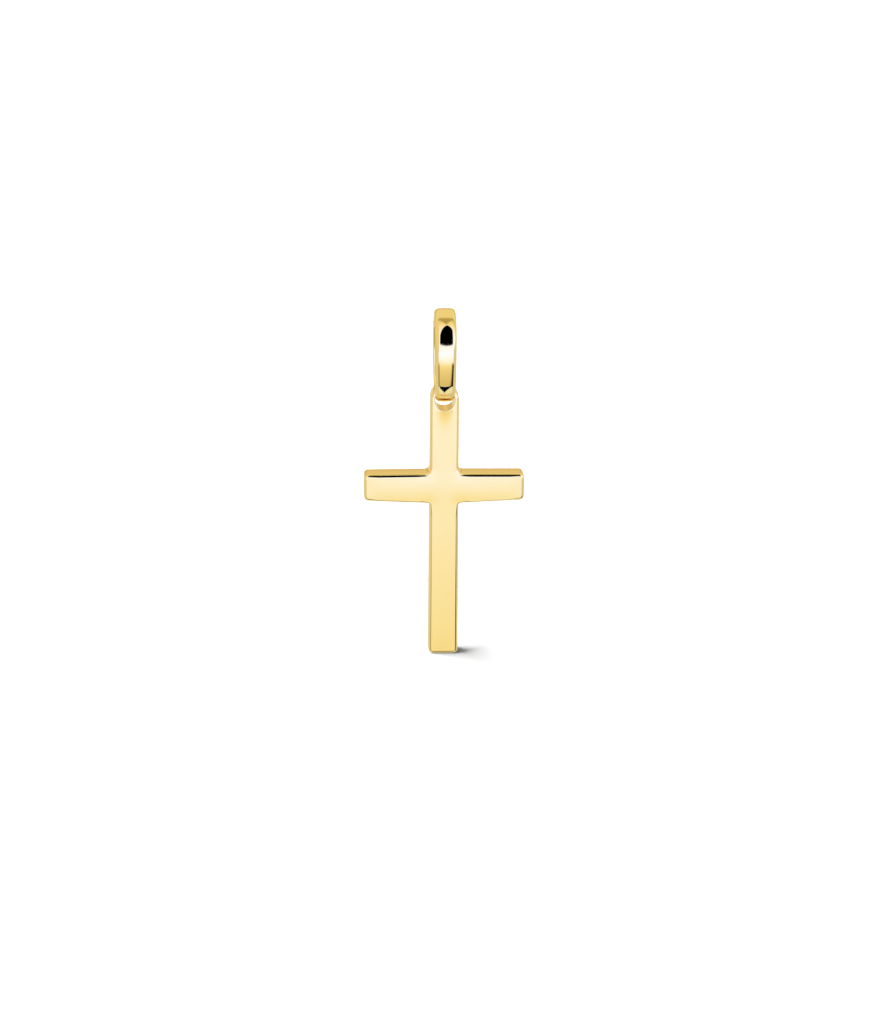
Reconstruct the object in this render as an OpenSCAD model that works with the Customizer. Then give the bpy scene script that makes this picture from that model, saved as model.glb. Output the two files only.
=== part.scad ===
// Cross pendant on an oval bail.
// Millimetres, +Z up, the cross faces -Y. The origin is the chain seat: the
// middle of the bail's inner face at its very top.

/* [Cross] */
// Height of the cross, foot to rounded top
cross_h = 17.35; // [12:0.05:30]
// Span across the two arms
cross_w = 10; // [7:0.1:16]
// Thickness, front to back
cross_t = 1.5; // [1.2:0.05:1.8]
// Width of the upright at the top
neck_w = 1.76; // [1.74:0.02:2.4]
// Width of the upright at the foot
foot_w = 1.84; // [1.7:0.01:2.6]
// Height of the arms where they meet the upright
arm_h = 1.92; // [1.4:0.02:2.6]
// Drop from the rounded top to the middle of the arms
arm_drop = 6.55; // [4:0.05:8]
// How far the top edge of an arm falls towards its end
arm_fall = 0.03; // [0:0.01:0.2]
// How far the underside of an arm rises towards its end
arm_rise = 0.19; // [0:0.01:0.3]

/* [Polished edges] */
// Rounding of all long edges
edge_r = 0.18; // [0.06:0.01:0.19]
// Corner radius at the arm ends, seen from the front
arm_corner_r = 0.28; // [0.22:0.01:0.5]
// Corner radius at the foot, seen from the front
foot_corner_r = 0.28; // [0.22:0.01:0.5]
// Fillet radius in the four inner corners
inner_fillet_r = 0.32; // [0.1:0.01:0.6]

/* [Eye] */
// Bore for the bail, front to back
eye_d = 1.28; // [1.22:0.01:1.3]
// Metal left above the bore
eye_bridge = 0.26; // [0.24:0.01:0.5]
// Rounding of both rims of the bore
eye_rim_r = 0.04; // [0.02:0.01:0.05]
// Flat left at the middle of the rounded top
crown_flat = 0.04; // [0.02:0.01:0.2]

/* [Bail] */
// Outer height of the oval
bail_h = 5.86; // [5.4:0.02:9]
// Outer depth of the oval at the full thickness of the band
bail_depth = 3.8; // [3.6:0.05:4.6]
// Inner radius of the round ends of the oval
bail_end_r = 1.3; // [1.1:0.01:1.35]
// Band thickness at the top, before it tapers down the legs
band_t = 0.5; // [0.4:0.01:0.5]
// Band width at the top, before it tapers down the legs
band_w = 1.32; // [1:0.02:1.6]
// Width of each rounded shoulder beside the flat outer panel
shoulder_w = 0.25; // [0.1:0.01:0.4]
// Drop of each shoulder below the flat outer panel
shoulder_t = 0.24; // [0.1:0.01:0.26]
// Thickness at the bottom, inside the eye
wire_t = 0.38; // [0.34:0.01:0.42]
// Width at the bottom, inside the eye
wire_w = 1; // [0.9:0.01:1.04]
// Rounding of the inner edges of the band
inner_edge_r = 0.12; // [0.06:0.01:0.13]
// Clearance between the band and the bore where they come closest
eye_gap = 0.04; // [0.03:0.01:0.08]

/* [Hidden] */
$fn = 96;
overshoot = 0.1;

// The bail's inner outline is an oval of four arcs: two round ends and two
// long flat sides, each meeting the next without a kink.
oval_y = bail_depth / 2 - band_t;
oval_z = (bail_h - band_t - wire_t) / 2;
end_lift = oval_z - bail_end_r;
side_r = (oval_y ^ 2 + end_lift ^ 2 - bail_end_r ^ 2) / (2 * (oval_y - bail_end_r));
side_shift = side_r - oval_y;
// Half the angle that each flat side turns through
side_lean = atan2(end_lift, side_shift);
bail_z = -oval_z;

// The cross hangs so that the band's inner edges clear the bore by eye_gap
// where the band leaves the straight part of the bore.
eye_half = cross_t / 2 - eye_rim_r;
band_climb = bail_end_r - sqrt(bail_end_r ^ 2 - eye_half ^ 2);
edge_reach = eye_d / 2 - inner_edge_r - eye_gap;
edge_height = sqrt(edge_reach ^ 2 - (wire_w / 2 - inner_edge_r) ^ 2);
eye_z = bail_z - oval_z + band_climb - inner_edge_r - edge_height;

top_z = eye_z + eye_d / 2 + eye_bridge;
foot_z = top_z - cross_h;
arm_z = top_z - arm_drop;
crown_r = (neck_w - crown_flat) / 2;

// Share of the taper from band to wire that comes with the drop down the legs,
// where it starts as a share of the half height, the rest comes with the turn
leg_taper = 0.45;
taper_start = 0.5;
// Share of the half width that is rounded at the bottom of the loop, and the
// upright strip left there beside the inner edge
wire_round = 0.9;
wire_strip = 0.01;
// Allowance for telling which arc of the oval a direction belongs to
join_slack = 0.0001;

// Steps along the curves of the two swept solids
corner_steps = 8;
edge_steps = 5;
end_steps = 22;
side_steps = 6;
shoulder_steps = 6;
inner_steps = 3;

// Half width of the upright at a height, from the foot to the top
function upright_half(z) = (foot_w + (neck_w - foot_w) * (z - foot_z) / cross_h) / 2;

// Corners of the right half of the front outline, foot to top: x, z, radius
function right_corners() = [
    [foot_w / 2, foot_z, foot_corner_r],
    [upright_half(arm_z - arm_h / 2), arm_z - arm_h / 2, inner_fillet_r],
    [cross_w / 2, arm_z - arm_h / 2 + arm_rise, arm_corner_r],
    [cross_w / 2, arm_z + arm_h / 2 - arm_fall, arm_corner_r],
    [upright_half(arm_z + arm_h / 2), arm_z + arm_h / 2, inner_fillet_r],
    [neck_w / 2, top_z, crown_r]
];

function mirrored(corners) = [
    for (i = [len(corners) - 1 : -1 : 0]) [-corners[i][0], corners[i][1], corners[i][2]]
];

function place(corner) = [corner[0], corner[1]];
function heading(a, b) = (b - a) / norm(b - a);

// One corner as an arc that touches both edges: a list of [point, outward normal].
// The outline is walked anticlockwise, so an inner corner turns the other way.
function corner_arc(before, here, after, radius) =
    let (way_in = heading(before, here))
    let (way_out = heading(here, after))
    let (side = sign(cross(way_in, way_out)))
    let (turn = side * acos(way_in * way_out))
    let (first = atan2(-way_in[0], way_in[1]))
    let (start = here - way_in * radius * tan(abs(turn) / 2))
    let (centre = start - side * radius * [cos(first), sin(first)])
    [for (i = [0 : corner_steps])
        let (angle = first + turn * i / corner_steps)
        let (normal = [cos(angle), sin(angle)])
        [centre + side * radius * normal, normal]
    ];

function outline(corners) =
    let (count = len(corners))
    [for (i = [0 : count - 1])
        let (before = place(corners[(i + count - 1) % count]))
        let (after = place(corners[(i + 1) % count]))
        each corner_arc(before, place(corners[i]), after, corners[i][2])
    ];

// Loops from the front face to the back face: [y, how far the outline is drawn in]
function edge_levels() = concat(
    [for (i = [0 : edge_steps])
        let (angle = 90 * i / edge_steps)
        [edge_r * (1 - cos(angle)) - cross_t / 2, edge_r * (1 - sin(angle))]
    ],
    [for (i = [edge_steps : -1 : 0])
        let (angle = 90 * i / edge_steps)
        [cross_t / 2 - edge_r * (1 - cos(angle)), edge_r * (1 - sin(angle))]
    ]
);

// Side faces between rows of points that close on themselves
function side_faces(rows, count) = [
    for (row = [0 : rows - 2])
        for (i = [0 : count - 1])
            let (next = (i + 1) % count)
            [row * count + i, row * count + next, (row + 1) * count + next, (row + 1) * count + i]
];

module rounded_cross() {
    walk = outline(concat(right_corners(), mirrored(right_corners())));
    levels = edge_levels();
    count = len(walk);
    points = [
        for (level = levels)
            for (step = walk)
                let (spot = step[0] - level[1] * step[1])
                [spot[0], level[0], spot[1]]
    ];
    // Both flat faces fan out from the middle of the crossing, which sees the whole outline
    middles = [[0, -cross_t / 2, arm_z], [0, cross_t / 2, arm_z]];
    last = (len(levels) - 1) * count;
    front = [for (i = [0 : count - 1]) [len(points), (i + 1) % count, i]];
    back = [for (i = [0 : count - 1]) [len(points) + 1, last + i, last + (i + 1) % count]];
    polyhedron(concat(points, middles), concat(front, back, side_faces(len(levels), count)));
}

// Rounds one rim of the bore, cut from the face at z = 0 downwards
module rim_cutter() {
    rotate_extrude() translate([eye_d / 2, 0]) difference() {
        translate([-overshoot, -eye_rim_r]) square([eye_rim_r + overshoot, eye_rim_r + overshoot]);
        translate([eye_rim_r, -eye_rim_r]) circle(eye_rim_r);
        translate([eye_rim_r, -eye_rim_r]) square([overshoot, eye_rim_r + 2 * overshoot]);
    }
}

module cross() {
    color("gold") difference() {
        rounded_cross();
        translate([0, 0, eye_z]) rotate([90, 0, 0]) {
            cylinder(d = eye_d, h = cross_t + 2 * overshoot, center = true);
            for (side = [0, 1]) mirror([0, 0, side]) translate([0, 0, cross_t / 2]) rim_cutter();
        }
    }
}

// Directions of the band's outward normal all the way round, in the YZ plane
function band_normals() = [
    for (half = [0, 180])
        each concat(
            [for (i = [0 : end_steps - 1])
                half + side_lean + (180 - 2 * side_lean) * i / end_steps],
            [for (i = [0 : side_steps - 1])
                half + 180 - side_lean + 2 * side_lean * i / side_steps]
        )
];

// Point of the inner oval with this normal: [y, z]
function oval_point(angle) =
    let (normal = [cos(angle), sin(angle)])
    let (on_end = abs(normal[1]) >= sin(side_lean) - join_slack)
    on_end
        ? [0, sign(normal[1]) * end_lift] + bail_end_r * normal
        : [-sign(normal[0]) * side_shift, 0] + side_r * normal;

// 0 at the top of the loop, 1 at its bottom
function wire_share(angle) =
    let (below = min(1, max(0, -sin(angle))))
    let (turned = below * below * (3 - 2 * below))
    let (drop = taper_start - oval_point(angle)[1] / oval_z)
    let (dropped = max(0, drop / (1 + taper_start)))
    leg_taper * dropped + (1 - leg_taper) * turned;

function blend(a, b, share) = a + (b - a) * share;

// Quarter of an ellipse about a centre, from one angle on: [across, outwards]
function quarter(centre, across, out, first, steps) = [
    for (i = [0 : steps])
        let (angle = first + 90 * i / steps)
        centre + [across * cos(angle), out * sin(angle)]
];

// Cross-section of the band, from its inner face outwards: flat outer panel
// with round shoulders above, nearly half round at the bottom
function band_section(share) =
    let (half = blend(band_w, wire_w, share) / 2)
    let (thick = blend(band_t, wire_t, share))
    let (across = blend(shoulder_w, wire_round * wire_w / 2, share))
    let (out = blend(shoulder_t, wire_t - inner_edge_r - wire_strip, share))
    concat(
        quarter([half - inner_edge_r, inner_edge_r], inner_edge_r, inner_edge_r, -90, inner_steps),
        quarter([half - across, thick - out], across, out, 0, shoulder_steps),
        quarter([across - half, thick - out], across, out, 90, shoulder_steps),
        quarter([inner_edge_r - half, inner_edge_r], inner_edge_r, inner_edge_r, 180, inner_steps)
    );

module bail() {
    angles = band_normals();
    count = len(band_section(0));
    points = [
        for (angle = angles)
            for (spot = band_section(wire_share(angle)))
                let (base = oval_point(angle))
                [spot[0], base[0] + spot[1] * cos(angle), bail_z + base[1] + spot[1] * sin(angle)]
    ];
    rows = len(angles);
    faces = [
        for (row = [0 : rows - 1])
            for (i = [0 : count - 1])
                let (next = (i + 1) % count)
                let (on = (row + 1) % rows)
                [row * count + i, on * count + i, on * count + next, row * count + next]
    ];
    color("gold") polyhedron(points, faces);
}

bail();
cross();
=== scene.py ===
import math

import bmesh
import bpy
import numpy as np
from mathutils import Matrix, Vector, geometry


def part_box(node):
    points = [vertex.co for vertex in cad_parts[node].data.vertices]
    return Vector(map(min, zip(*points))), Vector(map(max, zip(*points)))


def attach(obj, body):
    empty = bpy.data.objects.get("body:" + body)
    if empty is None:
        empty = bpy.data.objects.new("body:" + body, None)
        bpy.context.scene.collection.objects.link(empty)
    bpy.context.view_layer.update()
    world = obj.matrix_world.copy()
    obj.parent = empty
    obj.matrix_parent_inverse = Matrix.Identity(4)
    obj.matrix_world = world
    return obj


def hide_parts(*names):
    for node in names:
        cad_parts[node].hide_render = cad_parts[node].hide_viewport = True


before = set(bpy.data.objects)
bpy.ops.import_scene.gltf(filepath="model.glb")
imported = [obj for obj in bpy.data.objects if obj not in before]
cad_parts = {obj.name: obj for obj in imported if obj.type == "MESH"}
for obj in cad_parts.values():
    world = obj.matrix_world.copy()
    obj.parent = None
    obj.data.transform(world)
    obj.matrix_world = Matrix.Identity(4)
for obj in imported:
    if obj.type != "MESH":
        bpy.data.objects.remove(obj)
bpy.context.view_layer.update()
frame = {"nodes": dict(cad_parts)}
mm = 0.001
print("frame loaded:", ", ".join(frame["nodes"]))


def hexToLinear(code):
    channels = [int(code[i:i + 2], 16) / 255 for i in (1, 3, 5)]
    linear = [c / 12.92 if c <= 0.04045 else ((c + 0.055) / 1.055) ** 2.4 for c in channels]
    return (*linear, 1.0)


def addNode(tree, kind, inputs=None, **settings):
    # An input is given a value, or the output socket that feeds it
    node = tree.nodes.new(kind)
    for name, value in settings.items():
        setattr(node, name, value)
    for key, value in (inputs or {}).items():
        if isinstance(value, bpy.types.NodeSocket):
            tree.links.new(value, node.inputs[key])
        else:
            node.inputs[key].default_value = value
    return node


def linkNewObject(name, data):
    piece = bpy.data.objects.new(name, data)
    bpy.context.scene.collection.objects.link(piece)
    return piece


def finishMesh(mesh, title, weld):
    # Joins points that lie closer than weld, and turns the faces outwards
    shape = bmesh.new()
    shape.from_mesh(mesh)
    if weld:
        bmesh.ops.remove_doubles(shape, verts=shape.verts, dist=weld)
    bmesh.ops.recalc_face_normals(shape, faces=shape.faces)
    openEdges = sum(1 for edge in shape.edges if len(edge.link_faces) != 2)
    volume = shape.calc_volume(signed=True) / mm ** 3
    shape.to_mesh(mesh)
    shape.free()
    print(title, "built:", len(mesh.polygons), "faces,", openEdges, "open edges,",
          round(volume, 2), "mm3")


# Gold

goldLook = {
    "colour": "#fce4ac",
    "roughness": 0.05,
    "roughnessSwing": 0.02,
    "buffingMarkMm": 0.06,    # spacing of the buffing marks, drawn a little coarse to show
    "buffingDepthMm": 0.00002,
    "buffingStretch": 0.08,   # how much slower the marks change along the wheel's way
    "buffingDetail": 2.0,
    "wavinessMm": 1.4,        # slow unevenness left by the polishing wheel
    "waveDepthMm": 0.0006,
    "waveDetail": 1.0,
    "waveLow": 0.3,           # range of the waves that the roughness swings over
    "waveHigh": 0.7,
}


def polishedGold(name, stretch):
    # Cast yellow gold buffed to a mirror: sharp reflections that waver a little, and faint
    # marks that run the way the wheel went
    material = bpy.data.materials.new(name)
    material.use_nodes = True
    tree = material.node_tree
    shader = tree.nodes["Principled BSDF"]
    shader.inputs["Base Color"].default_value = hexToLinear(goldLook["colour"])
    shader.inputs["Metallic"].default_value = 1.0
    place = addNode(tree, "ShaderNodeTexCoord").outputs["Object"]
    stretched = addNode(tree, "ShaderNodeMapping", {"Vector": place, "Scale": stretch})
    marks = addNode(tree, "ShaderNodeTexNoise", {
        "Vector": stretched.outputs["Vector"], "Detail": goldLook["buffingDetail"],
        "Scale": 1 / (goldLook["buffingMarkMm"] * mm)})
    waves = addNode(tree, "ShaderNodeTexNoise", {
        "Vector": place, "Detail": goldLook["waveDetail"],
        "Scale": 1 / (goldLook["wavinessMm"] * mm)})
    patchy = addNode(tree, "ShaderNodeMapRange", {
        "Value": waves.outputs["Fac"],
        "From Min": goldLook["waveLow"], "From Max": goldLook["waveHigh"],
        "To Min": goldLook["roughness"] - goldLook["roughnessSwing"],
        "To Max": goldLook["roughness"] + goldLook["roughnessSwing"]})
    tree.links.new(patchy.outputs["Result"], shader.inputs["Roughness"])
    uneven = addNode(tree, "ShaderNodeBump", {
        "Height": waves.outputs["Fac"], "Distance": goldLook["waveDepthMm"] * mm})
    buffed = addNode(tree, "ShaderNodeBump", {
        "Height": marks.outputs["Fac"], "Distance": goldLook["buffingDepthMm"] * mm,
        "Normal": uneven.outputs["Normal"]})
    tree.links.new(buffed.outputs["Normal"], shader.inputs["Normal"])
    return material


slow = goldLook["buffingStretch"]
crossGold = polishedGold("mirror polished cast yellow gold", (1.0, 1.0, slow))
bandGold = polishedGold("mirror polished yellow gold band", (1.0, slow, slow))
print("gold made")

# Cross: one casting with soft edges, bored through near its rounded top

crossForm = {    # lengths in mm
    "neckWidth": 1.76,
    "footWidth": 1.84,
    "armHeight": 1.92,
    "armDrop": 6.55,
    "armFall": 0.03,        # how far the arms' upper sides fall towards their ends
    "armRise": 0.19,        # and their undersides rise
    "edgeRadius": 0.18,
    "armCorner": 0.28,
    "footCorner": 0.28,
    "innerFillet": 0.32,
    "underFillet": 0.16,    # of the inner corners under the arms, which look tighter
    "crownFlat": 0.04,      # flat left at the very top, between the two rounded halves
    "eyeDiameter": 1.28,
    "eyeBridge": 0.26,      # metal over the bore
    "eyeRim": 0.02,
    "seam": 0.015,          # flat strip round the faces, that keeps the edges' shading off them
    "facePillow": 0.011,    # how far the flat faces stand proud at the crossing
    "sidePillow": 0.008,
    "armSwell": 0.25,       # share by which the upper edges of the arms are polished wider
    "swellFade": 0.7,       # length over which the change begins and ends
    "underTuck": 0.4,       # share by which the lower edges of the arms are tighter
    "tuckReach": 0.5,       # size of the tight part in the corners under the arms
    "collar": 0.045,        # how far the face stands proud under the bore
    "collarFade": 0.55,     # how far down it fades to about a third
    "cornerSteps": 16,
    "edgeSteps": 12,
    "wallSteps": 8,
    "eyeSteps": 120,
    "rimSteps": 8,
    "meshSpacing": 0.1,
    "meshMargin": 0.5,      # share of the spacing that is kept free along the borders
    "sliver": 0.00003,      # triangles flatter than this lie on a straight side, and are dropped
    "cutTolerance": 1e-7,
    "weld": 0.0005,
    "pillowRounds": 900,
}


def cornerArc(before, here, after, radius, steps):
    # Points and outward normals of the arc that touches both edges of a corner
    wayIn = (here - before).normalized()
    wayOut = (after - here).normalized()
    side = 1 if wayIn.x * wayOut.y - wayIn.y * wayOut.x > 0 else -1
    turn = side * math.acos(max(-1, min(1, wayIn.dot(wayOut))))
    first = math.atan2(-wayIn.x, wayIn.y)
    start = here - wayIn * radius * math.tan(abs(turn) / 2)
    centre = start - side * radius * Vector((math.cos(first), math.sin(first)))
    arc = []
    for i in range(steps + 1):
        angle = first + turn * i / steps
        normal = Vector((math.cos(angle), math.sin(angle)))
        arc.append((centre + side * radius * normal, normal))
    return arc


def crossOutline(form, low, high):
    footZ, topZ, reach = low.z / mm, high.z / mm, high.x / mm
    armZ = topZ - form["armDrop"]

    def halfWidth(z):
        share = (z - footZ) / (topZ - footZ)
        return (form["footWidth"] + (form["neckWidth"] - form["footWidth"]) * share) / 2

    under = armZ - form["armHeight"] / 2
    over = armZ + form["armHeight"] / 2
    right = [
        (form["footWidth"] / 2, footZ, form["footCorner"]),
        (halfWidth(under), under, form["underFillet"]),
        (reach, under + form["armRise"], form["armCorner"]),
        (reach, over - form["armFall"], form["armCorner"]),
        (halfWidth(over), over, form["innerFillet"]),
        (form["neckWidth"] / 2, topZ, (form["neckWidth"] - form["crownFlat"]) / 2),
    ]
    corners = right + [(-x, z, radius) for x, z, radius in reversed(right)]
    points = [Vector(corner[:2]) for corner in corners]
    walk = []
    for i, corner in enumerate(corners):
        after = points[(i + 1) % len(points)]
        walk += cornerArc(points[i - 1], points[i], after, corner[2], form["cornerSteps"])
    # Straight stretches get points of their own, so that the mesh is even all the way
    even = []
    for (spot, normal), (nextSpot, _) in zip(walk, walk[1:] + walk[:1]):
        pieces = max(1, round((nextSpot - spot).length / form["meshSpacing"]))
        even += [(spot.lerp(nextSpot, k / pieces), normal) for k in range(pieces)]
    return even


def insideLoop(loop, points):
    inside = np.zeros(len(points), bool)
    x, z = points[:, 0], points[:, 1]
    for a, b in zip(loop, np.roll(loop, -1, axis=0)):
        if a[1] != b[1]:
            reach = (b[0] - a[0]) * (z - a[1]) / (b[1] - a[1]) + a[0]
            inside ^= ((a[1] > z) != (b[1] > z)) & (x < reach)
    return inside


def faceTriangles(outer, hole, form):
    # Even triangles in the XZ plane, between the outline and the bore
    spacing = form["meshSpacing"]
    low, high = outer.min(axis=0) + spacing / 3, outer.max(axis=0)
    rows = np.arange(low[1], high[1], spacing * math.sqrt(3) / 2)
    columns = np.arange(low[0], high[0], spacing)
    grid = np.array([(x + (k % 2) * spacing / 2, z) for k, z in enumerate(rows) for x in columns])
    grid = grid[insideLoop(outer, grid) & ~insideLoop(hole, grid)]
    border = np.vstack([outer, hole])
    margin = form["meshMargin"] * spacing
    clear = [np.hypot(*(border - p).T).min() > margin for p in grid]
    points = np.vstack([border, grid[clear]])
    n, m = len(outer), len(hole)
    edges = [(i, (i + 1) % n) for i in range(n)] + [(n + i, n + (i + 1) % m) for i in range(m)]
    result = geometry.delaunay_2d_cdt(
        [Vector(p) for p in points], edges, [], 0, form["cutTolerance"])
    spots = np.array([tuple(v) for v in result[0]])
    triangles = np.array([tuple(f) for f in result[2]])
    middles = spots[triangles].mean(axis=1)
    (ax, az), (bx, bz) = (spots[triangles[:, k]].T - spots[triangles[:, 0]].T for k in (1, 2))
    flat = np.abs(ax * bz - az * bx) < form["sliver"] * spacing ** 2
    return spots, triangles[insideLoop(outer, middles) & ~insideLoop(hole, middles) & ~flat]


def pillow(spots, triangles, fixed, rounds, height):
    # Heights of a skin that is held at its border and pushed out evenly
    pairs = np.vstack([triangles[:, [0, 1]], triangles[:, [1, 2]], triangles[:, [2, 0]]])
    a, b = np.unique(np.sort(pairs, axis=1), axis=0).T
    count = np.bincount(a, minlength=len(spots)) + np.bincount(b, minlength=len(spots))
    lift = np.zeros(len(spots))
    for _ in range(rounds):
        total = np.bincount(a, lift[b], len(spots)) + np.bincount(b, lift[a], len(spots))
        lift = total / np.maximum(count, 1) + 1.0
        lift[:fixed] = 0
    return height * lift / lift.max()


def roundedLevels(half, radius, seam, bulge, steps, wallSteps):
    # The rounded edge from the front face to the back one: (y, how far the loop is drawn in)
    angles = [math.pi / 2 * i / steps for i in range(steps + 1)]
    front = [(-half, radius + seam)]
    front += [(radius * (1 - math.cos(t)) - half, radius * (1 - math.sin(t))) for t in angles]
    wall = half - radius
    middle = [(wall * (2 * i / wallSteps - 1), -bulge * (1 - (2 * i / wallSteps - 1) ** 2))
              for i in range(1, wallSteps)]
    return front + middle + [(-y, inset) for y, inset in reversed(front)]


def edgeSwell(form, spot, normal, reach, under):
    # Wider rounding along the upper edges of the arms, and tighter along the lower ones
    x = np.abs(spot[:, 0])
    near = np.clip((x - form["neckWidth"] / 2 - form["innerFillet"] / 2) / form["swellFade"], 0, 1)
    far = np.clip((reach - form["armCorner"] - x) / form["swellFade"], 0, 1)
    share = near * far
    share *= share * (3 - 2 * share)
    steep = 0.5    # a normal that rises more than this faces up
    upper, lower = share * (normal[:, 1] > steep), share * (normal[:, 1] < -steep)
    off = np.hypot(x - form["neckWidth"] / 2, spot[:, 1] - under) / form["tuckReach"]
    return 1 + form["armSwell"] * upper - form["underTuck"] * np.maximum(lower, np.exp(-off * off))


def collarLift(form, x, z, eyeZ):
    # Low collar that the polishing left on the face below the bore
    off = np.hypot(x, z - eyeZ)
    reach = form["neckWidth"] / 2 - form["edgeRadius"] - form["seam"]
    across = np.clip(1 - (x / reach) ** 2, 0, 1)
    below = np.clip((eyeZ - z) / off, 0, 1)
    fade = np.exp(-np.maximum(off - form["eyeDiameter"] / 2 - form["eyeRim"], 0)
                  / form["collarFade"])
    return form["collar"] * across * below * fade


def buildCross(form):
    low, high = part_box("cross")
    half = high.y / mm - form["facePillow"]
    walk = crossOutline(form, low, high)
    spot = np.array([tuple(p) for p, normal in walk])
    normal = np.array([tuple(normal) for p, normal in walk])
    under = high.z / mm - form["armDrop"] - form["armHeight"] / 2
    swell = edgeSwell(form, spot, normal, high.x / mm, under)[:, None]
    eye = np.array([0, high.z / mm - form["eyeBridge"] - form["eyeDiameter"] / 2])
    turns = np.linspace(0, 2 * math.pi, form["eyeSteps"], endpoint=False)
    spoke = np.column_stack([np.cos(turns), np.sin(turns)])
    bore = form["eyeDiameter"] / 2

    outer = spot - (form["edgeRadius"] + form["seam"]) * swell * normal
    hole = eye + (bore + form["eyeRim"] + form["seam"]) * spoke
    spots, triangles = faceTriangles(outer, hole, form)
    fixed = len(outer) + len(hole)
    lift = pillow(spots, triangles, fixed, form["pillowRounds"], form["facePillow"])
    lift += collarLift(form, spots[:, 0], spots[:, 1], eye[1])
    deeper = 1 + collarLift(form, hole[:, 0], hole[:, 1], eye[1]) / half

    outside = [np.insert(spot - inset * swell * normal, 1, y, axis=1) for y, inset in
               roundedLevels(half, form["edgeRadius"], form["seam"], form["sidePillow"],
                             form["edgeSteps"], form["wallSteps"])]
    inside = [np.insert(eye + (bore + inset) * spoke, 1, y * deeper, axis=1) for y, inset in
              roundedLevels(half, form["eyeRim"], form["seam"], 0, form["rimSteps"],
                            form["wallSteps"])]

    points, faces = [], []
    for rows, outwards in ((outside, 1), (inside, -1)):
        first, count = sum(len(p) for p in points), len(rows[0])
        points += rows
        for row in range(len(rows) - 1):
            for i in range(count):
                a, b = first + row * count + i, first + row * count + (i + 1) % count
                faces.append((a, b, b + count, a + count)[::outwards])
    for side in (-1, 1):
        first = sum(len(p) for p in points)
        points.append(np.column_stack([spots[:, 0], side * (half + lift), spots[:, 1]]))
        faces += [tuple(first + int(k) for k in triangle[::-side]) for triangle in triangles]

    mesh = bpy.data.meshes.new("castCross")
    mesh.from_pydata((np.vstack(points) * mm).tolist(), [], faces)
    finishMesh(mesh, "cross", form["weld"] * mm)
    mesh.polygons.foreach_set("use_smooth", [True] * len(mesh.polygons))
    mesh.materials.append(crossGold)
    return linkNewObject("castCross", mesh)


castCross = buildCross(crossForm)
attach(castCross, "cross")
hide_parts("cross")

# Bail: a band swept round an oval of four arcs, thinner and rounder where it is in the eye

bailForm = {    # lengths in mm
    "height": 5.86,
    "depth": 3.8,
    "endRadius": 1.3,
    "bandThickness": 0.5,
    "bandWidth": 1.32,
    "bandShoulder": 0.25,
    "bandCrown": 0.046,     # how far the outer panel falls from its middle to its sides
    "wireThickness": 0.38,
    "wireWidth": 1.2,
    "wireShoulder": 0.26,
    "wireCrown": 0.06,
    "bandInnerEdge": 0.12,
    "wireInnerEdge": 0.11,
    "legTaper": 0.45,       # share of the taper that comes with the drop down the legs
    "taperStart": 0.5,      # where it starts, as a share of the half height
    "pathPoints": 480,
    "sectionPoints": 140,
    "filletPoints": 20,
}


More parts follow.
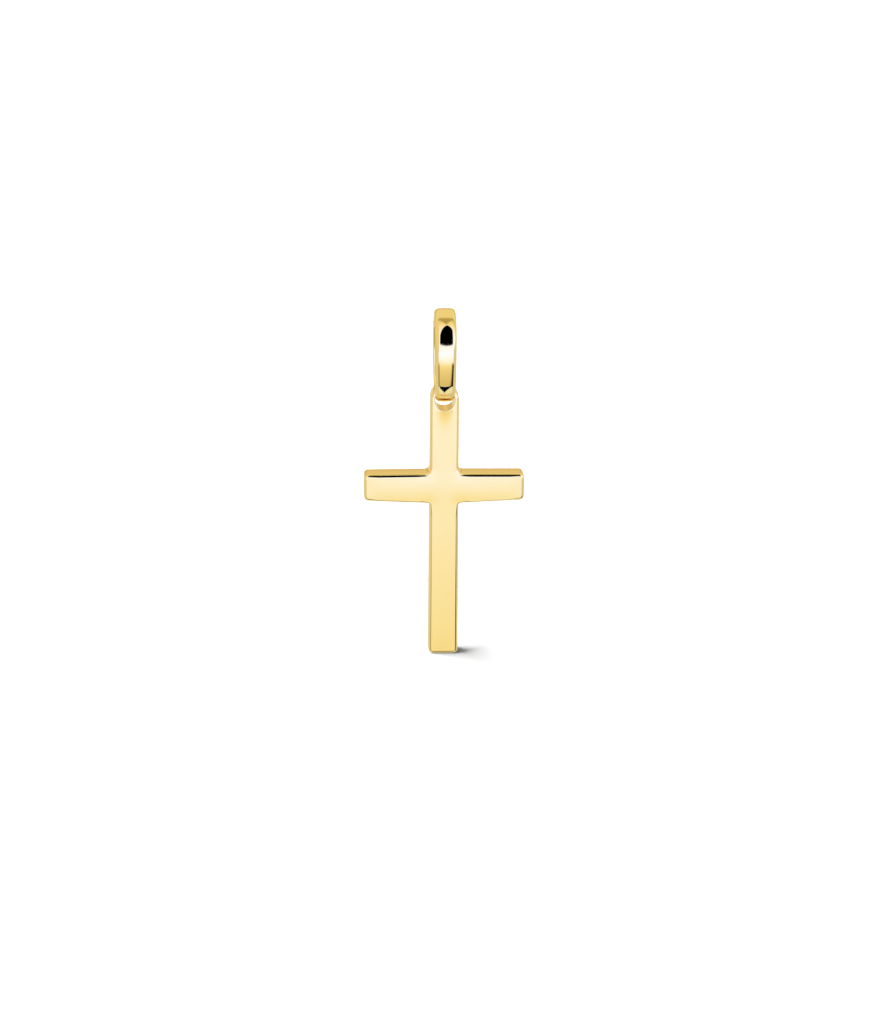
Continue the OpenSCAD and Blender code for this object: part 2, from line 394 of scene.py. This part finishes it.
def bailTree():
    tree = bpy.data.node_groups.new("ovalBand", "GeometryNodeTree")
    tree.interface.new_socket("Geometry", in_out="OUTPUT", socket_type="NodeSocketGeometry")
    for name in ("End Radius", "End Lift", "Side Radius", "Side Shift", "Loop Height",
                 "Band Thickness", "Band Width", "Band Shoulder", "Band Crown",
                 "Wire Thickness", "Wire Width", "Wire Shoulder", "Wire Crown",
                 "Band Inner Edge", "Wire Inner Edge", "Leg Taper", "Taper Start"):
        tree.interface.new_socket(name, in_out="INPUT", socket_type="NodeSocketFloat")
    for name in ("Path Points", "Section Points", "Fillet Points"):
        tree.interface.new_socket(name, in_out="INPUT", socket_type="NodeSocketInt")
    tree.interface.new_socket("Material", in_out="INPUT", socket_type="NodeSocketMaterial")
    given = addNode(tree, "NodeGroupInput").outputs
    place = addNode(tree, "GeometryNodeInputPosition").outputs["Position"]
    here = addNode(tree, "ShaderNodeSeparateXYZ", {"Vector": place})

    # Two sections of the same number of points, X outwards from the inner face, Y across.
    # The crown falls with the square of the distance from the middle, all of it at half the width
    sections = []
    for kind in ("Band", "Wire"):
        thick, wide = given[kind + " Thickness"], given[kind + " Width"]
        block = addNode(tree, "GeometryNodeCurvePrimitiveQuadrilateral",
                        {"Width": thick, "Height": wide})
        outerSide = addNode(tree, "FunctionNodeCompare", {"A": here.outputs["X"], "B": 0.0},
                            operation="GREATER_THAN")
        radius = addNode(tree, "GeometryNodeSwitch", {
            "Switch": outerSide.outputs["Result"], "False": given[kind + " Inner Edge"],
            "True": given[kind + " Shoulder"]}, input_type="FLOAT")
        rounded = addNode(tree, "GeometryNodeFilletCurve", {
            "Curve": block.outputs["Curve"], "Count": given["Fillet Points"],
            "Radius": radius.outputs["Output"], "Limit Radius": True}, mode="POLY")
        even = addNode(tree, "GeometryNodeResampleCurve",
                       {"Curve": rounded.outputs["Curve"], "Count": given["Section Points"]})
        share = addNode(tree, "ShaderNodeMath", {0: here.outputs["Y"], 1: wide},
                        operation="DIVIDE")
        fall = addNode(tree, "ShaderNodeMath", {0: share.outputs[0], 1: share.outputs[0]},
                       operation="MULTIPLY")
        depth = addNode(tree, "ShaderNodeMath", {0: here.outputs["X"], 1: thick},
                        operation="DIVIDE")
        outwards = addNode(tree, "ShaderNodeMath", {0: depth.outputs[0], 1: 0.5},
                           operation="ADD")
        crown = addNode(tree, "ShaderNodeMath", {0: given[kind + " Crown"], 1: -4.0},
                        operation="MULTIPLY")
        crowned = addNode(tree, "ShaderNodeMath", {0: crown.outputs[0], 1: fall.outputs[0]},
                          operation="MULTIPLY")
        lowered = addNode(tree, "ShaderNodeMath", {0: crowned.outputs[0], 1: outwards.outputs[0]},
                          operation="MULTIPLY")
        seated = addNode(tree, "ShaderNodeMath", {0: thick, 1: 0.5, 2: lowered.outputs[0]},
                         operation="MULTIPLY_ADD")
        offset = addNode(tree, "ShaderNodeCombineXYZ", {"X": seated.outputs[0]})
        section = addNode(tree, "GeometryNodeSetPosition",
                          {"Geometry": even.outputs["Curve"], "Offset": offset.outputs["Vector"]})
        sections.append(section.outputs["Geometry"])

    # Every point keeps its place in both sections, and its direction round the loop
    along = addNode(tree, "GeometryNodeSplineParameter").outputs["Factor"]
    wireSpot = addNode(tree, "GeometryNodeSampleCurve",
                       {"Curves": sections[1], "Factor": along}, mode="FACTOR")
    profile = addNode(tree, "GeometryNodeCaptureAttribute")
    profile.capture_items.new("VECTOR", "Band Spot")
    profile.capture_items.new("VECTOR", "Wire Spot")
    tree.links.new(sections[0], profile.inputs["Geometry"])
    tree.links.new(place, profile.inputs["Band Spot"])
    tree.links.new(wireSpot.outputs["Position"], profile.inputs["Wire Spot"])
    circle = addNode(tree, "GeometryNodeCurvePrimitiveCircle",
                     {"Resolution": given["Path Points"], "Radius": 1.0}, mode="RADIUS")
    path = addNode(tree, "GeometryNodeCaptureAttribute")
    path.capture_items.new("VECTOR", "Direction")
    tree.links.new(circle.outputs["Curve"], path.inputs["Geometry"])
    tree.links.new(place, path.inputs["Direction"])
    swept = addNode(tree, "GeometryNodeCurveToMesh", {
        "Curve": path.outputs["Geometry"], "Profile Curve": profile.outputs["Geometry"]})

    # The direction picks its arc of the oval: a round end, or one of the long sides
    facing = addNode(tree, "ShaderNodeSeparateXYZ", {"Vector": path.outputs["Direction"]})
    outY, outZ = facing.outputs["X"], facing.outputs["Y"]
    signY = addNode(tree, "ShaderNodeMath", {0: outY}, operation="SIGN").outputs[0]
    signZ = addNode(tree, "ShaderNodeMath", {0: outZ}, operation="SIGN").outputs[0]
    minusShift = addNode(tree, "ShaderNodeMath", {0: given["Side Shift"], 1: -1.0},
                         operation="MULTIPLY").outputs[0]
    sideY = addNode(tree, "ShaderNodeMath", {0: signY, 1: minusShift},
                    operation="MULTIPLY").outputs[0]
    endZ = addNode(tree, "ShaderNodeMath", {0: signZ, 1: given["End Lift"]},
                   operation="MULTIPLY").outputs[0]
    steep = addNode(tree, "ShaderNodeMath", {0: outZ}, operation="ABSOLUTE").outputs[0]
    flat = addNode(tree, "ShaderNodeMath", {0: outY}, operation="ABSOLUTE").outputs[0]
    rise = addNode(tree, "ShaderNodeMath", {0: steep, 1: given["Side Shift"]},
                   operation="MULTIPLY").outputs[0]
    run = addNode(tree, "ShaderNodeMath", {0: flat, 1: given["End Lift"]},
                  operation="MULTIPLY").outputs[0]
    onEnd = addNode(tree, "FunctionNodeCompare", {"A": rise, "B": run},
                    operation="GREATER_EQUAL").outputs["Result"]
    centreY = addNode(tree, "GeometryNodeSwitch", {"Switch": onEnd, "False": sideY, "True": 0.0},
                      input_type="FLOAT").outputs["Output"]
    centreZ = addNode(tree, "GeometryNodeSwitch", {"Switch": onEnd, "False": 0.0, "True": endZ},
                      input_type="FLOAT").outputs["Output"]
    radius = addNode(tree, "GeometryNodeSwitch", {
        "Switch": onEnd, "False": given["Side Radius"], "True": given["End Radius"]},
        input_type="FLOAT").outputs["Output"]

    # From the band to the wire: partly with the drop, the rest with the turn under
    innerZ = addNode(tree, "ShaderNodeMath", {0: outZ, 1: radius, 2: centreZ},
                     operation="MULTIPLY_ADD").outputs[0]
    level = addNode(tree, "ShaderNodeMath", {0: innerZ, 1: given["Loop Height"]},
                    operation="DIVIDE").outputs[0]    # 1 at the bottom, -1 at the top
    minusStart = addNode(tree, "ShaderNodeMath", {0: given["Taper Start"], 1: -1.0},
                         operation="MULTIPLY").outputs[0]
    dropped = addNode(tree, "ShaderNodeMapRange", {
        "Value": level, "From Min": minusStart, "From Max": 1.0}).outputs["Result"]
    below = addNode(tree, "ShaderNodeMath", {0: outZ, 1: -1.0}, operation="MULTIPLY").outputs[0]
    turned = addNode(tree, "ShaderNodeMapRange", {"Value": below},
                     interpolation_type="SMOOTHSTEP").outputs["Result"]
    wire = addNode(tree, "ShaderNodeMix", {0: given["Leg Taper"], 2: turned, 3: dropped},
                   data_type="FLOAT").outputs[0]
    spot = addNode(tree, "ShaderNodeMix", {
        0: wire, 4: profile.outputs["Band Spot"], 5: profile.outputs["Wire Spot"]},
        data_type="VECTOR")
    mixed = addNode(tree, "ShaderNodeSeparateXYZ", {"Vector": spot.outputs[1]})
    reach = addNode(tree, "ShaderNodeMath", {0: radius, 1: mixed.outputs["X"]},
                    operation="ADD").outputs[0]
    y = addNode(tree, "ShaderNodeMath", {0: outY, 1: reach, 2: centreY},
                operation="MULTIPLY_ADD").outputs[0]
    upZ = addNode(tree, "ShaderNodeMath", {0: outZ, 1: reach, 2: centreZ},
                  operation="MULTIPLY_ADD").outputs[0]
    z = addNode(tree, "ShaderNodeMath", {0: upZ, 1: given["Loop Height"]},
                operation="ADD").outputs[0]
    home = addNode(tree, "ShaderNodeCombineXYZ", {"X": mixed.outputs["Y"], "Y": y, "Z": z})
    shaped = addNode(tree, "GeometryNodeSetPosition", {
        "Geometry": swept.outputs["Mesh"], "Position": home.outputs["Vector"]})
    smooth = addNode(tree, "GeometryNodeSetShadeSmooth", {"Geometry": shaped.outputs["Geometry"]})
    real = addNode(tree, "GeometryNodeRealizeInstances", {"Geometry": smooth.outputs["Geometry"]})
    dressed = addNode(tree, "GeometryNodeSetMaterial", {
        "Geometry": real.outputs["Geometry"], "Material": given["Material"]})
    addNode(tree, "NodeGroupOutput", {"Geometry": dressed.outputs["Geometry"]})
    return tree


def buildBail(form):
    innerDepth = form["depth"] / 2 - form["bandThickness"]
    innerHeight = (form["height"] - form["bandThickness"] - form["wireThickness"]) / 2
    lift = innerHeight - form["endRadius"]
    sideRadius = (innerDepth ** 2 + lift ** 2 - form["endRadius"] ** 2) / (
        2 * (innerDepth - form["endRadius"]))
    sizes = {
        "End Radius": form["endRadius"],
        "End Lift": lift,
        "Side Radius": sideRadius,
        "Side Shift": sideRadius - innerDepth,
        "Loop Height": -innerHeight,
        "Band Thickness": form["bandThickness"],
        "Band Width": form["bandWidth"],
        "Band Shoulder": form["bandShoulder"],
        "Band Crown": form["bandCrown"],
        "Wire Thickness": form["wireThickness"],
        "Wire Width": form["wireWidth"],
        "Wire Shoulder": form["wireShoulder"],
        "Wire Crown": form["wireCrown"],
        "Band Inner Edge": form["bandInnerEdge"],
        "Wire Inner Edge": form["wireInnerEdge"],
    }
    shares = {"Leg Taper": form["legTaper"], "Taper Start": form["taperStart"]}
    counts = {
        "Path Points": form["pathPoints"],
        "Section Points": form["sectionPoints"],
        "Fillet Points": form["filletPoints"],
        "Material": bandGold,
    }
    tree = bailTree()
    source = linkNewObject("bandSource", bpy.data.meshes.new("bandSource"))
    sweep = source.modifiers.new("ovalBand", "NODES")
    sweep.node_group = tree
    values = {**{name: size * mm for name, size in sizes.items()}, **shares, **counts}
    for item in tree.interface.items_tree:
        if item.item_type == "SOCKET" and item.in_out == "INPUT":
            sweep[item.identifier] = values[item.name]
    depsgraph = bpy.context.evaluated_depsgraph_get()
    mesh = bpy.data.meshes.new_from_object(source.evaluated_get(depsgraph), depsgraph=depsgraph)
    bpy.data.objects.remove(source)
    mesh.name = "bailBand"
    finishMesh(mesh, "bail", 0)
    return linkNewObject("bailBand", mesh)


bailBand = buildBail(bailForm)
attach(bailBand, "bail")
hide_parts("bail")

# Floor: a plain white sheet under the foot

floorForm = {"halfMm": 600, "gapMm": 0.02, "colour": "#f2f2f2"}


def buildFloor(form):
    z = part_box("cross")[0].z - form["gapMm"] * mm
    half = form["halfMm"] * mm
    mesh = bpy.data.meshes.new("floorSheet")
    mesh.from_pydata([(-half, -half, z), (half, -half, z), (half, half, z), (-half, half, z)],
                     [], [(0, 1, 2, 3)])
    paper = bpy.data.materials.new("matt white card")   # smooth card without any gloss
    paper.use_nodes = True
    shader = paper.node_tree.nodes["Principled BSDF"]
    shader.inputs["Base Color"].default_value = hexToLinear(form["colour"])
    shader.inputs["Roughness"].default_value = 1.0
    shader.inputs["Specular IOR Level"].default_value = 0.0
    mesh.materials.append(paper)
    sheet = linkNewObject("floorSheet", mesh)
    sheet.visible_glossy = False    # the gold mirrors the studio round it instead
    return sheet


buildFloor(floorForm)
print("floor laid")

# Studio: what the gold mirrors. Height runs from the front horizon over the top to the back,
# aside is the lean to either side, and screens stand at a bearing and an elevation

studioLook = {
    "brightest": 2.4,    # the ramp holds each light as a share of this one
    "bands": [   # height in degrees, then red, green and blue light
        (-180, 0.80, 0.74, 0.56),
        (-100, 0.76, 0.54, 0.25),
        (-86, 0.80, 0.60, 0.28),
        (-79, 0.92, 0.96, 0.80),
        (-41, 0.86, 0.90, 0.90),
        (-38, 0.66, 0.57, 0.33),
        (-33, 0.75, 0.65, 0.34),
        (-24, 0.85, 0.76, 0.44),
        (-20, 0.92, 0.86, 0.54),
        (-18, 0.99, 0.94, 0.65),
        (-16.3, 1.01, 1.04, 1.00),
        (-14.8, 1.03, 1.12, 1.42),
        (-12, 1.05, 1.22, 1.85),
        (-7.5, 1.06, 1.28, 2.40),
        (-2, 1.06, 1.22, 1.90),
        (40, 1.0, 1.08, 1.35),
        (56, 1.0, 1.0, 0.80),
        (74, 0.88, 0.80, 0.42),
        (81, 0.84, 0.76, 0.42),
        (85, 0.50, 0.42, 0.15),
        (91, 0.50, 0.42, 0.15),
        (98, 0.86, 0.78, 0.45),
        (101, 0.88, 0.81, 0.47),
        (145, 0.88, 0.81, 0.47),
        (158, 0.80, 0.65, 0.32),
        (165.4, 0.80, 0.65, 0.32),
        (167, 0.70, 0.52, 0.22),
        (180, 0.70, 0.52, 0.22),
    ],
    "screens": [   # bearing from and to, elevation from and to, softness of both, light
        (-120, -24, -7, 62, 8, 3, (0.88, 0.77, 0.46)),
        (40, 175, -85, -5, 8, 3, (0.72, 0.71, 0.56)),
        (-175, -40, -85, -5, 8, 3, (0.76, 0.74, 0.54)),
        (13, 46, -43, -16.1, 2, 1.6, (0.03, 0.015, 0.0)),
        (-48, -13, -42, -16.4, 3, 2.5, (0.43, 0.34, 0.12)),
    ],
    # Openings, from height base to tip: half width at the base, lean of the middle, sag of the
    # base line at its middle, and how bend and narrow draw the sides to the tip
    "openings": [
        {"base": 86, "tip": 55, "half": 8, "middle": 3.1, "sag": 0, "bend": 1, "narrow": 1,
         "softness": 3, "light": (0.48, 0.40, 0.16)},
        {"base": -29, "tip": -84, "half": 19.5, "middle": 1.0, "sag": 14, "bend": 1,
         "narrow": 1.7, "softness": 0.8, "light": (0, 0, 0)},
        {"base": 0, "tip": 60.5, "half": 11.6, "middle": 4.4, "sag": 1.2, "bend": 2,
         "narrow": 0.6, "softness": 0.6, "light": (0, 0, 0)},
    ],
    "glintLight": 0.3,    # brightness of what the gold throws on the floor
    "floorLight": (0.27, 0.27, 0.27),
    "backdropLight": (1.0, 1.0, 1.0),
}


def softWindow(tree, value, low, high, softness):
    rise = addNode(tree, "ShaderNodeMapRange", {
        "Value": value, "From Min": low - softness, "From Max": low + softness},
        interpolation_type="SMOOTHSTEP").outputs["Result"]
    fall = addNode(tree, "ShaderNodeMapRange", {
        "Value": value, "From Min": high + softness, "From Max": high - softness},
        interpolation_type="SMOOTHSTEP").outputs["Result"]
    return addNode(tree, "ShaderNodeMath", {0: rise, 1: fall}, operation="MULTIPLY").outputs[0]


def pointedOpening(tree, height, aside, form):
    # Widest at its base, and narrowing to a point at its tip
    softness = form["softness"]
    up = addNode(tree, "ShaderNodeMapRange", {
        "Value": height, "From Min": form["base"], "From Max": form["tip"]}).outputs["Result"]
    bent = addNode(tree, "ShaderNodeMath", {0: up, 1: form["bend"]}, operation="POWER").outputs[0]
    left = addNode(tree, "ShaderNodeMath", {0: 1.0, 1: bent}, operation="SUBTRACT").outputs[0]
    narrow = addNode(tree, "ShaderNodeMath", {0: left, 1: form["narrow"]},
                     operation="POWER").outputs[0]
    reach = addNode(tree, "ShaderNodeMath", {0: narrow, 1: form["half"] + softness, 2: -softness},
                    operation="MULTIPLY_ADD").outputs[0]
    lean = addNode(tree, "ShaderNodeMath", {0: aside, 1: form["middle"]},
                   operation="SUBTRACT").outputs[0]
    off = addNode(tree, "ShaderNodeMath", {0: lean}, operation="ABSOLUTE").outputs[0]
    spare = addNode(tree, "ShaderNodeMath", {0: reach, 1: off}, operation="SUBTRACT").outputs[0]
    share = addNode(tree, "ShaderNodeMath", {0: off, 1: form["half"]},
                    operation="DIVIDE").outputs[0]
    bow = addNode(tree, "ShaderNodeMath", {0: share, 1: share}, operation="MULTIPLY").outputs[0]
    raised = addNode(tree, "ShaderNodeMath", {0: height, 1: form["sag"]},
                     operation="ADD").outputs[0]
    level = addNode(tree, "ShaderNodeMath", {0: bow, 1: -form["sag"], 2: raised},
                    operation="MULTIPLY_ADD").outputs[0]
    inside = addNode(tree, "ShaderNodeMapRange", {
        "Value": spare, "From Min": -softness, "From Max": softness},
        interpolation_type="SMOOTHSTEP").outputs["Result"]
    upwards = math.copysign(softness, form["tip"] - form["base"])
    begun = addNode(tree, "ShaderNodeMapRange", {
        "Value": level, "From Min": form["base"] - upwards, "From Max": form["base"] + upwards},
        interpolation_type="SMOOTHSTEP").outputs["Result"]
    return addNode(tree, "ShaderNodeMath", {0: inside, 1: begun}, operation="MULTIPLY").outputs[0]


def buildStudio(look):
    world = bpy.data.worlds.new("softStudio")
    bpy.context.scene.world = world
    world.use_nodes = True
    tree = world.node_tree
    tree.nodes.clear()
    direction = addNode(tree, "ShaderNodeTexCoord").outputs["Generated"]
    part = addNode(tree, "ShaderNodeSeparateXYZ", {"Vector": direction})
    front = addNode(tree, "ShaderNodeMath", {0: part.outputs["Y"], 1: -1.0},
                    operation="MULTIPLY").outputs[0]

    angles = []
    for operation, sides in (
            ("ARCTAN2", {0: part.outputs["Z"], 1: front}), ("ARCSINE", {0: part.outputs["X"]}),
            ("ARCTAN2", {0: part.outputs["X"], 1: front}), ("ARCSINE", {0: part.outputs["Z"]})):
        radians = addNode(tree, "ShaderNodeMath", sides, operation=operation)
        degrees = addNode(tree, "ShaderNodeMath", {0: radians.outputs[0]}, operation="DEGREES")
        angles.append(degrees.outputs[0])
    height, aside, bearing, elevation = angles

    def shareOfBrightest(light):
        return (*(c / look["brightest"] for c in light), 1.0)

    # The ramp's 0 to 1 stands for heights from -180 to 180 degrees
    turned = addNode(tree, "ShaderNodeMath", {0: height, 1: 1 / 360, 2: 0.5},
                     operation="MULTIPLY_ADD").outputs[0]
    bands = addNode(tree, "ShaderNodeValToRGB", {"Fac": turned})
    ramp = bands.color_ramp
    ramp.elements.remove(ramp.elements[1])
    for k, (degrees, *light) in enumerate(look["bands"]):
        stop = ramp.elements[0] if k == 0 else ramp.elements.new(degrees / 360 + 0.5)
        stop.color = shareOfBrightest(light)

    layers = []
    for left, right, low, high, softAcross, softUp, light in look["screens"]:
        across = softWindow(tree, bearing, left, right, softAcross)
        up = softWindow(tree, elevation, low, high, softUp)
        share = addNode(tree, "ShaderNodeMath", {0: across, 1: up}, operation="MULTIPLY")
        layers.append((share.outputs[0], light))
    for form in look["openings"]:
        layers.append((pointedOpening(tree, height, aside, form), form["light"]))
    seen = bands.outputs["Color"]
    for share, light in layers:
        seen = addNode(tree, "ShaderNodeMix", {0: share, 6: seen, 7: shareOfBrightest(light)},
                       data_type="RGBA").outputs[2]

    # The floor is lit evenly with hardly a glint from the gold, and the camera sees plain white
    rays = addNode(tree, "ShaderNodeLightPath").outputs
    strength = addNode(tree, "ShaderNodeMapRange", {
        "Value": rays["Diffuse Depth"], "To Min": look["brightest"],
        "To Max": look["glintLight"]}).outputs["Result"]
    mirrored = addNode(tree, "ShaderNodeBackground",
                       {"Color": seen, "Strength": strength}).outputs[0]
    plain = addNode(tree, "ShaderNodeBackground",
                    {"Color": (*look["floorLight"], 1.0)}).outputs[0]
    white = addNode(tree, "ShaderNodeBackground",
                    {"Color": (*look["backdropLight"], 1.0)}).outputs[0]
    lit = addNode(tree, "ShaderNodeMixShader", {0: rays["Is Glossy Ray"], 1: plain, 2: mirrored})
    chosen = addNode(tree, "ShaderNodeMixShader",
                     {0: rays["Is Camera Ray"], 1: lit.outputs["Shader"], 2: white})
    addNode(tree, "ShaderNodeOutputWorld", {"Surface": chosen.outputs["Shader"]})


buildStudio(studioLook)

# Key light: wide and soft, from the left and a little from behind, and bright enough to leave
# only the core of the shadow on the white floor

keyLook = {"elevation": 40, "turn": -10, "width": 80, "strength": 6.5}    # angles in degrees


def buildKey(look):
    lamp = bpy.data.lights.new("softKey", "SUN")
    lamp.angle = math.radians(look["width"])
    lamp.energy = look["strength"]
    key = linkNewObject("softKey", lamp)
    key.rotation_euler = (0.0, math.radians(look["elevation"] - 90), math.radians(look["turn"]))
    key.visible_glossy = False


buildKey(keyLook)
print("studio lit")

# Camera

cameraLook = {    # angles in degrees, lengths in metres unless the name says mm
    "azimuth": -3.1,
    "elevation": 16.0,
    "roll": 0.43,
    "distance": 0.22,
    "aimMm": (0.0, 0.0, -12.55),
    "lens": 123.36,    # mm
    "clip": (0.01, 10),
}


def placeCamera(look):
    data = bpy.data.cameras.new("camera")
    camera = linkNewObject("camera", data)
    azimuth, elevation = math.radians(look["azimuth"]), math.radians(look["elevation"])
    back = Vector((math.sin(azimuth) * math.cos(elevation),
                   -math.cos(azimuth) * math.cos(elevation), math.sin(elevation)))
    aim = Vector(look["aimMm"]) * mm
    turn = (-back).to_track_quat("-Z", "Y").to_matrix().to_4x4()
    roll = Matrix.Rotation(math.radians(look["roll"]), 4, "Z")
    camera.matrix_world = Matrix.Translation(aim + back * look["distance"]) @ turn @ roll
    data.lens = look["lens"]
    data.clip_start, data.clip_end = look["clip"]
    bpy.context.scene.camera = camera


placeCamera(cameraLook)
bpy.context.scene.view_settings.view_transform = "Standard"
print("camera placed")
